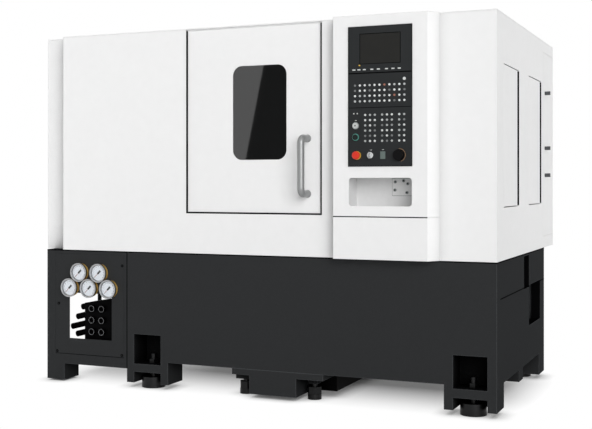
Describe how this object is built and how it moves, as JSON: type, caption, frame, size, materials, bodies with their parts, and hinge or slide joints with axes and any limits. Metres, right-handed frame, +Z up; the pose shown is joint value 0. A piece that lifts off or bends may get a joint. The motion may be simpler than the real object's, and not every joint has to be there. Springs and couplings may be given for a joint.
{
  "type": "cnc turning lathe",
  "caption": "Slant-bed CNC turning lathe with a white sheet enclosure, sliding front door, control panel and a charcoal base with a gauge cabinet.",
  "frame": {"origin": "on the floor, under the middle of the machine's outer box", "axes": "+X to the right seen from the operator's side, +Y from the operator's side to the rear, +Z up"},
  "size_m": [2.344, 1.481, 1.72],
  "materials": {
    "white_powder_coat": "semi-gloss powder coat",
    "charcoal_paint": "satin textured paint",
    "black_steel": "black oxide",
    "black_plastic": "moulded, matt",
    "gauge_brass": "turned",
    "gauge_steel": "rolled and polished",
    "clear_glass": "clear",
    "needle_black": "matt",
    "liner_grey": "satin",
    "tray_grey": "satin",
    "panel_black": "fine textured",
    "screen_black": "gloss",
    "key_grey": "satin",
    "start_green": "gloss",
    "stop_red": "gloss",
    "collar_yellow": "gloss",
    "key_chrome": "plated",
    "tinted_glass": "dark tinted, gloss",
    "handle_aluminium": "satin",
    "rail_steel": "ground",
    "machine_casting": "painted casting"
  },
  "bodies": {
    "machine": {"base_frame": "charcoal_paint", "chamber_liner": "liner_grey", "control_housing": "white_powder_coat", "coolant_tank": "charcoal_paint", "display_screen": "screen_black", "display_unit": "panel_black", "door_rails": "rail_steel", "front_cover": "white_powder_coat", "gauge_bezels": "gauge_steel", "gauge_cases": "gauge_brass", "gauge_lenses": "clear_glass", "gauge_panel": "charcoal_paint", "headstock": "machine_casting", "hydraulic_cabinet": "charcoal_paint", "keyboard_keys": "key_grey", "keyboard_panel": "panel_black", "left_end_cover": "white_powder_coat", "levelling_feet": "black_steel", "lower_control_cover": "white_powder_coat", "middle_support": "charcoal_paint", "operator_keys": "key_grey", "operator_panel": "panel_black", "rear_cover": "white_powder_coat", "right_side_cover": "white_powder_coat", "roof_cover": "white_powder_coat", "slant_bed": "machine_casting", "stop_collar": "collar_yellow", "storage_tray": "tray_grey", "valve_block": "black_steel", "valve_fittings": "black_plastic"},
    "door": {"door_leaf": "white_powder_coat", "door_window": "tinted_glass", "window_frame": "black_steel", "door_handle": "handle_aluminium"},
    "side_door_front": {"side_door_front": "white_powder_coat"},
    "side_door_rear": {"side_door_rear": "white_powder_coat"},
    "cabinet_door": {"cabinet_door": "white_powder_coat"},
    "upper_latch": {"upper_latch": "key_chrome"},
    "lower_latch": {"lower_latch": "key_chrome"},
    "main_switch": {"main_switch": "key_chrome"},
    "spindle": {"spindle": "rail_steel", "chuck_body": "rail_steel"},
    "saddle": {"saddle": "machine_casting"},
    "cross_slide": {"cross_slide": "machine_casting"},
    "turret": {"turret_disc": "rail_steel"},
    "tailstock": {"tailstock": "machine_casting"},
    "quill": {"tailstock_quill": "rail_steel"},
    "stop_button": {"stop_button": "stop_red"},
    "hold_button": {"hold_button": "key_grey"},
    "start_button": {"start_button": "start_green"},
    "key_switch": {"key_switch": "key_chrome"},
    "override_knob": {"override_knob": "black_plastic"},
    "jaw_1": {"chuck_jaw_1": "rail_steel"},
    "jaw_2": {"chuck_jaw_2": "rail_steel"},
    "jaw_3": {"chuck_jaw_3": "rail_steel"},
    "needle_1": {"gauge_needle_1": "needle_black"},
    "needle_2": {"gauge_needle_2": "needle_black"},
    "needle_3": {"gauge_needle_3": "needle_black"},
    "needle_4": {"gauge_needle_4": "needle_black"},
    "needle_5": {"gauge_needle_5": "needle_black"}
  },
  "joints": [
    {"name": "door_slide", "type": "slide", "parent": "machine", "child": "door", "axis": [-1, 0, 0], "range_m": [0, 0.56]},
    {"name": "side_door_front_hinge", "type": "hinge", "parent": "machine", "child": "side_door_front", "pos_m": [1.135, -0.504, 1.195], "axis": [0, 0, -1], "range_deg": [0, 90]},
    {"name": "side_door_rear_hinge", "type": "hinge", "parent": "machine", "child": "side_door_rear", "pos_m": [1.135, 0.066, 1.195], "axis": [0, 0, -1], "range_deg": [0, 90]},
    {"name": "cabinet_door_hinge", "type": "hinge", "parent": "machine", "child": "cabinet_door", "pos_m": [1.135, 0.711, 1.19], "axis": [0, 0, 1], "range_deg": [0, 90]},
    {"name": "upper_latch_turn", "type": "hinge", "parent": "cabinet_door", "child": "upper_latch", "pos_m": [1.144, 0.497, 1.45508], "axis": [1, 0, 0], "range_deg": [0, 90]},
    {"name": "lower_latch_turn", "type": "hinge", "parent": "cabinet_door", "child": "lower_latch", "pos_m": [1.144, 0.497, 1.0302], "axis": [1, 0, 0], "range_deg": [0, 90]},
    {"name": "main_switch_turn", "type": "hinge", "parent": "cabinet_door", "child": "main_switch", "pos_m": [1.144, 0.497, 1.17026], "axis": [1, 0, 0], "range_deg": [0, 90]},
    {"name": "spindle_spin", "type": "hinge", "parent": "machine", "child": "spindle", "pos_m": [-0.3377, -0.22131, 1.05992], "axis": [1, 0, 0], "continuous": true},
    {"name": "jaw_1_grip", "type": "slide", "parent": "spindle", "child": "jaw_1", "axis": [0, -0.7071, -0.7071], "range_m": [0, 0.005]},
    {"name": "jaw_2_grip", "type": "slide", "parent": "spindle", "child": "jaw_2", "axis": [0, 0.9659, -0.2588], "range_m": [0, 0.005]},
    {"name": "jaw_3_grip", "type": "slide", "parent": "spindle", "child": "jaw_3", "axis": [0, -0.2588, 0.9659], "range_m": [0, 0.005]},
    {"name": "saddle_slide", "type": "slide", "parent": "machine", "child": "saddle", "axis": [-1, 0, 0], "range_m": [0, 0.15]},
    {"name": "cross_slide_feed", "type": "slide", "parent": "saddle", "child": "cross_slide", "axis": [0, -0.7071, -0.7071], "range_m": [0, 0.15]},
    {"name": "turret_index", "type": "hinge", "parent": "cross_slide", "child": "turret", "pos_m": [0.0187, 0.02548, 1.3067], "axis": [1, 0, 0], "continuous": true},
    {"name": "tailstock_slide", "type": "slide", "parent": "machine", "child": "tailstock", "axis": [-1, 0, 0], "range_m": [0, 0.1]},
    {"name": "quill_slide", "type": "slide", "parent": "tailstock", "child": "quill", "axis": [-1, 0, 0], "range_m": [0, 0.06]},
    {"name": "needle_1_turn", "type": "hinge", "parent": "machine", "child": "needle_1", "pos_m": [-0.98425, -0.67, 0.471], "axis": [0, 1, 0], "range_deg": [0, 270], "stiffness_Nm_per_rad": 0.01},
    {"name": "needle_2_turn", "type": "hinge", "parent": "machine", "child": "needle_2", "pos_m": [-0.87175, -0.67, 0.471], "axis": [0, 1, 0], "range_deg": [0, 270], "stiffness_Nm_per_rad": 0.01},
    {"name": "needle_3_turn", "type": "hinge", "parent": "machine", "child": "needle_3", "pos_m": [-0.75925, -0.67, 0.471], "axis": [0, 1, 0], "range_deg": [0, 270], "stiffness_Nm_per_rad": 0.01},
    {"name": "needle_4_turn", "type": "hinge", "parent": "machine", "child": "needle_4", "pos_m": [-0.928, -0.67, 0.548], "axis": [0, 1, 0], "range_deg": [0, 270], "stiffness_Nm_per_rad": 0.01},
    {"name": "needle_5_turn", "type": "hinge", "parent": "machine", "child": "needle_5", "pos_m": [-0.8155, -0.67, 0.548], "axis": [0, 1, 0], "range_deg": [0, 270], "stiffness_Nm_per_rad": 0.01},
    {"name": "stop_push", "type": "slide", "parent": "machine", "child": "stop_button", "axis": [0, 1, 0], "range_m": [0, 0.006]},
    {"name": "hold_push", "type": "slide", "parent": "machine", "child": "hold_button", "axis": [0, 1, 0], "range_m": [0, 0.004], "stiffness_N_per_m": 800},
    {"name": "start_push", "type": "slide", "parent": "machine", "child": "start_button", "axis": [0, 1, 0], "range_m": [0, 0.004], "stiffness_N_per_m": 800},
    {"name": "key_switch_turn", "type": "hinge", "parent": "machine", "child": "key_switch", "pos_m": [0.61, -0.715, 1.11], "axis": [0, 1, 0], "range_deg": [0, 90]},
    {"name": "override_knob_turn", "type": "hinge", "parent": "machine", "child": "override_knob", "pos_m": [0.737, -0.715, 1.11], "axis": [0, 1, 0], "range_deg": [0, 300]}
  ],
  "couplings": [
    {"joint": "jaw_2_grip", "follows": "jaw_1_grip", "ratio": 1},
    {"joint": "jaw_3_grip", "follows": "jaw_1_grip", "ratio": 1}
  ]
}
